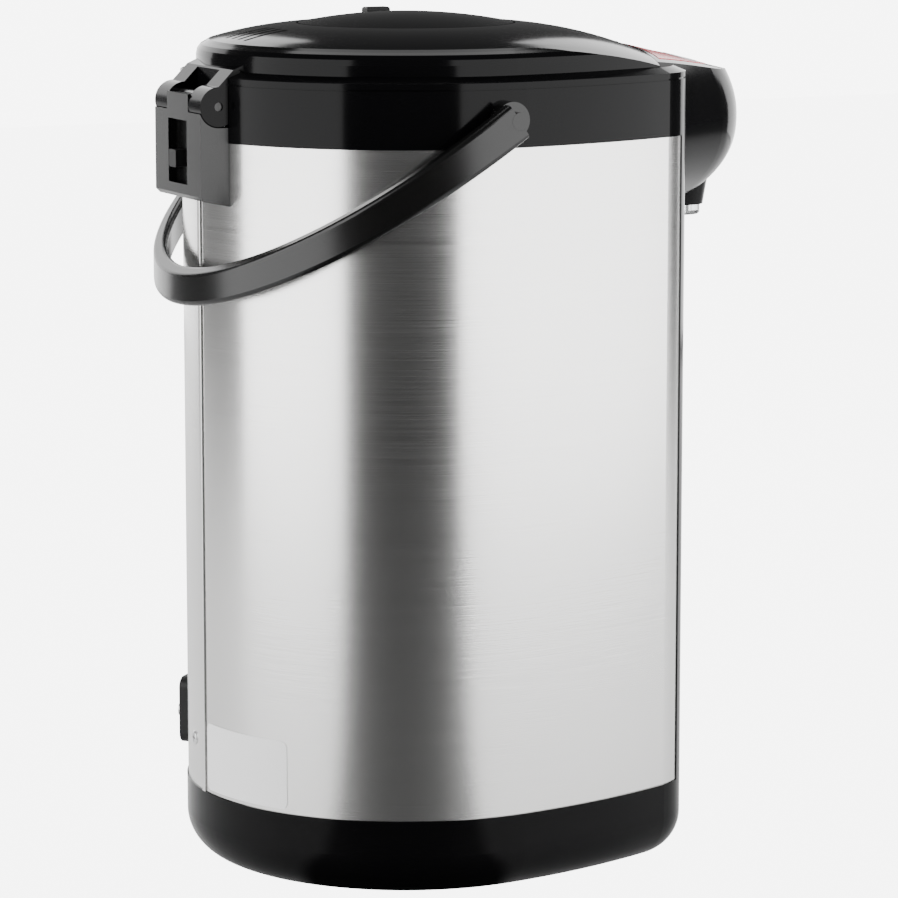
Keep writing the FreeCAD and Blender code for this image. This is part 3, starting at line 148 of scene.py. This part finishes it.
softbox("left_softbox", turn=59, distance=1.15, height=0.35, width=1.3, tall=1.5, power=27)
softbox("right_softbox", turn=-64, distance=1.15, height=0.35, width=1.75, tall=1.5, power=36)
softbox("back_left_softbox", turn=150, distance=1.6, height=0.6, width=1.2, tall=1.2, power=14)
softbox("back_right_softbox", turn=-150, distance=1.6, height=0.6, width=1.2, tall=1.2, power=14)
softbox("overhead_softbox", turn=180, distance=0.35, height=1.5, width=0.9, tall=0.9, power=10)

# Shared finishes: fine drawn lines for steel, and faint wear for mouldings.
# Each is a node group, so that every part made of that stuff has the same surface.


def group_with(name, inputs, outputs):
    """Node group with named number sockets, and its own input and output nodes."""
    group = bpy.data.node_groups.new(name, "ShaderNodeTree")
    for label, value in inputs:
        socket = group.interface.new_socket(label, in_out="INPUT", socket_type="NodeSocketFloat")
        socket.default_value = value
    for label in outputs:
        group.interface.new_socket(label, in_out="OUTPUT", socket_type="NodeSocketFloat")
    return group, group.nodes.new("NodeGroupInput"), group.nodes.new("NodeGroupOutput")


def drawn_lines():
    """Noise stretched round the pot: long, thin, level scratches."""
    group, start, end = group_with(
        "drawn_lines", [("Scale", 1.0), ("Rough", 0.3), ("Spread", 0.1), ("Depth", 0.1)], ["Roughness", "Height"])
    place = new_node(group, "ShaderNodeTexCoord")
    stretch = new_node(group, "ShaderNodeMapping")
    stretch.inputs["Scale"].default_value = (14, 14, 2600)
    noise = new_node(group, "ShaderNodeTexNoise")
    noise.inputs["Detail"].default_value = 3
    shift = new_node(group, "ShaderNodeMath", operation="SUBTRACT")
    shift.inputs[1].default_value = 0.5
    vary = new_node(group, "ShaderNodeMath", operation="MULTIPLY_ADD")
    deep = new_node(group, "ShaderNodeMath", operation="MULTIPLY")
    for source, target in (
        (place.outputs["Object"], stretch.inputs["Vector"]),
        (stretch.outputs["Vector"], noise.inputs["Vector"]),
        (start.outputs["Scale"], noise.inputs["Scale"]),
        (noise.outputs["Fac"], shift.inputs[0]),
        (shift.outputs[0], vary.inputs[0]),
        (start.outputs["Spread"], vary.inputs[1]),
        (start.outputs["Rough"], vary.inputs[2]),
        (noise.outputs["Fac"], deep.inputs[0]),
        (start.outputs["Depth"], deep.inputs[1]),
        (vary.outputs[0], end.inputs["Roughness"]),
        (deep.outputs[0], end.inputs["Height"]),
    ):
        group.links.new(source, target)
    return group


def faint_wear():
    """Soft cloudy change of gloss, as handling leaves on plastic."""
    group, start, end = group_with("faint_wear", [("Scale", 30.0), ("Rough", 0.2), ("Spread", 0.1)], ["Roughness"])
    place = new_node(group, "ShaderNodeTexCoord")
    noise = new_node(group, "ShaderNodeTexNoise")
    noise.inputs["Detail"].default_value = 5
    vary = new_node(group, "ShaderNodeMath", operation="MULTIPLY_ADD")
    for source, target in (
        (place.outputs["Object"], noise.inputs["Vector"]),
        (start.outputs["Scale"], noise.inputs["Scale"]),
        (noise.outputs["Fac"], vary.inputs[0]),
        (start.outputs["Spread"], vary.inputs[1]),
        (start.outputs["Rough"], vary.inputs[2]),
        (vary.outputs[0], end.inputs["Roughness"]),
    ):
        group.links.new(source, target)
    return group


lines_group = drawn_lines()
wear_group = faint_wear()


def dressed(paint, *dressed_pieces):
    """Give one material to each piece, named as a CAD node or passed as an object."""
    for piece in dressed_pieces:
        mesh = nodes[piece].data if isinstance(piece, str) else piece.data
        mesh.materials.clear()
        mesh.materials.append(paint)


def plastic(name, colour, rough, spread, shine=0.5):
    """Moulded plastic with a little change of gloss over its surface."""
    paint = bpy.data.materials.new(name)
    paint.use_nodes = True
    tree = paint.node_tree
    shader = tree.nodes["Principled BSDF"]
    shader.inputs["Base Color"].default_value = (*colour, 1)
    shader.inputs["Specular IOR Level"].default_value = shine
    wear = new_node(tree, "ShaderNodeGroup", node_tree=wear_group)
    wear.inputs["Rough"].default_value = rough
    wear.inputs["Spread"].default_value = spread
    tree.links.new(wear.outputs["Roughness"], shader.inputs["Roughness"])
    return paint


def metal(name, colour, rough, spread, depth=0.0):
    """Metal with drawn lines that run level round the pot."""
    paint = bpy.data.materials.new(name)
    paint.use_nodes = True
    tree = paint.node_tree
    shader = tree.nodes["Principled BSDF"]
    shader.inputs["Base Color"].default_value = (*colour, 1)
    shader.inputs["Metallic"].default_value = 1
    lines = new_node(tree, "ShaderNodeGroup", node_tree=lines_group)
    lines.inputs["Rough"].default_value = rough
    lines.inputs["Spread"].default_value = spread
    lines.inputs["Depth"].default_value = depth
    bump = new_node(tree, "ShaderNodeBump")
    bump.inputs["Distance"].default_value = 0.0002
    bump.inputs["Strength"].default_value = 0.35
    tree.links.new(lines.outputs["Roughness"], shader.inputs["Roughness"])
    tree.links.new(lines.outputs["Height"], bump.inputs["Height"])
    tree.links.new(bump.outputs["Normal"], shader.inputs["Normal"])
    return paint


# Black mouldings: the base, collar and lid are one polished black plastic.
# The bail and hinge box are a little less polished, and the covers below are satin.
piano_black = plastic("piano_black", (0.0022, 0.0022, 0.0025), 0.09, 0.05, shine=0.1)
satin_black = plastic("satin_black", (0.008, 0.008, 0.008), 0.38, 0.1, shine=0.2)
bail_black = plastic("bail_black", (0.003, 0.003, 0.003), 0.2, 0.06, shine=0.4)
dressed(piano_black, "base_shell", "front_panel", "upper_shell", "lid_cover", "pump_plate", "latch_lever",
        "spout_nozzle")
dressed(bail_black, "handle", "handle_pivots", "hinge_housing")
dressed(satin_black, "mains_inlet", "bottom_cover", "hinge_release", "pump_lock", "chassis_plate")

# Jacket and inner steel: brushed sheet for the jacket, plain drawn steel for the vessel and fasteners,
# a dark hinge pin, plated contact pins and cast alloy for the heater.
jacket_steel = metal("jacket_steel", (0.78, 0.775, 0.765), 0.21, 0.12, depth=0.4)
plain_steel = metal("plain_steel", (0.7, 0.7, 0.7), 0.25, 0.05)
plate_brass = metal("plated_brass", (0.78, 0.62, 0.32), 0.25, 0.05)
dark_steel = metal("dark_steel", (0.06, 0.06, 0.06), 0.4, 0.05)
cast_alloy = metal("cast_alloy", (0.6, 0.6, 0.6), 0.45, 0.1)
dressed(jacket_steel, "outer_jacket")
dressed(plain_steel, "inner_vessel", "base_screws", "inlet_screws", "lid_screws", "vessel_straps",
        "return_spring", "pump_motor")
dressed(dark_steel, "hinge_pin")
dressed(plate_brass, "inlet_pins")
dressed(cast_alloy, "heater_plate", "keep_warm_band")

# Rubber feet, silicone seals and hoses, milky inner mouldings, green boards and grey keys.
# Each is a plain plastic with its own colour and gloss.
foot_rubber = plastic("foot_rubber", (0.03, 0.03, 0.03), 0.7, 0.1)
silicone = plastic("silicone", (0.72, 0.71, 0.68), 0.45, 0.1)
milk_plastic = plastic("milk_plastic", (0.78, 0.78, 0.75), 0.4, 0.08)
board_green = plastic("board_green", (0.02, 0.16, 0.05), 0.4, 0.08)
key_grey = plastic("key_grey", (0.55, 0.55, 0.56), 0.3, 0.06)
dressed(foot_rubber, "rubber_feet")
dressed(silicone, "lid_gasket", "suction_hose", "riser_tube", "bellows", "air_valve")
dressed(milk_plastic, "inner_lid", "steam_duct", "level_tube_holder", "pump_chamber", "impeller", "vessel_support",
        "boil_thermostat", "thermal_fuse")
dressed(board_green, "power_board", "control_board")
dressed(key_grey, "dispense_button", "reboil_button")

# Clear pieces: the water-level window, gauge tube and spout tip are one see-through moulding
# that bends light as acrylic does.
clear_tip = bpy.data.materials.new("clear_tip")
clear_tip.use_nodes = True
clear_shader = clear_tip.node_tree.nodes["Principled BSDF"]
clear_shader.inputs["Base Color"].default_value = (0.93, 0.95, 0.95, 1)
clear_shader.inputs["Roughness"].default_value = 0.03
clear_shader.inputs["Transmission Weight"].default_value = 0.92
clear_shader.inputs["IOR"].default_value = 1.49
dressed(clear_tip, "level_window", "level_tube", "spout_tip")

# Bare rating plate and red control panel: a white film on the jacket and a polished red plate
# on top of the nose.
label_film = plastic("label_film", (0.97, 0.97, 0.97), 0.35, 0.05)
panel_red = plastic("panel_red", (0.75, 0.02, 0.04), 0.15, 0.04, shine=0.15)
dressed(label_film, "rating_plate")
dressed(panel_red, "control_panel")

# Jacket screw: a plated pan-head screw low on the back, beside the jacket's seam.
# Its cross recess is cut by two thin bars, and its head bears on the steel.
screw_radius = 0.0034
screw_thick = 0.0016
screw_level = 0.059
screw_reach = 0.1039
screw_turn = math.asin(14 / 103)
bpy.ops.mesh.primitive_cylinder_add(vertices=40, radius=screw_radius, depth=screw_thick)
jacket_screw = bpy.context.active_object
jacket_screw.name = "jacket_screw"
crown = jacket_screw.modifiers.new("crown", "BEVEL")
crown.width = 0.0007
crown.segments = 4
bpy.ops.object.modifier_apply(modifier="crown")
for turn in (0, math.pi / 2):
    bpy.ops.mesh.primitive_cube_add(size=1, location=(0, 0, screw_thick / 2), rotation=(0, 0, turn))
    bar = bpy.context.active_object
    bar.scale = (0.004, 0.0008, 0.0014)
    bpy.ops.object.transform_apply(location=True, rotation=True, scale=True)
    recess = jacket_screw.modifiers.new("recess", "BOOLEAN")
    recess.operation = "DIFFERENCE"
    recess.object = bar
    bpy.context.view_layer.objects.active = jacket_screw
    bpy.ops.object.modifier_apply(modifier="recess")
    bpy.data.objects.remove(bar)
jacket_screw.rotation_euler = (-math.pi / 2, 0, -screw_turn)
jacket_screw.location = (screw_reach * math.sin(screw_turn), screw_reach * math.cos(screw_turn), screw_level)
bpy.ops.object.select_all(action="DESELECT")
jacket_screw.select_set(True)
bpy.ops.object.transform_apply(location=True, rotation=True, scale=True)
bpy.ops.object.shade_smooth_by_angle(angle=math.radians(35))
dressed(plain_steel, jacket_screw)
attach(jacket_screw, "housing")

# Level marks: five pale lines on the water-level window, printed as thin raised bars.
# The top and bottom lines are longer. They sit on the window's outer face.
window_face = -0.12065
lowest_mark = 0.1
mark_pitch = 0.041
mark_lengths = (0.009, 0.005, 0.005, 0.005, 0.009)
mark_bars = []
for step, mark_length in enumerate(mark_lengths):
    bpy.ops.mesh.primitive_cube_add(size=1, location=(0, window_face, lowest_mark + mark_pitch * step))
    bar = bpy.context.active_object
    bar.scale = (mark_length, 0.0002, 0.0009)
    bpy.ops.object.transform_apply(location=True, rotation=True, scale=True)
    mark_bars.append(bar)
bpy.ops.object.select_all(action="DESELECT")
for bar in mark_bars:
    bar.select_set(True)
bpy.context.view_layer.objects.active = mark_bars[0]
bpy.ops.object.join()
level_marks = bpy.context.active_object
level_marks.name = "level_marks"
bpy.ops.object.transform_apply(location=True, rotation=True, scale=True)
dressed(plastic("mark_white", (0.8, 0.8, 0.8), 0.4, 0.06), level_marks)
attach(level_marks, "housing")
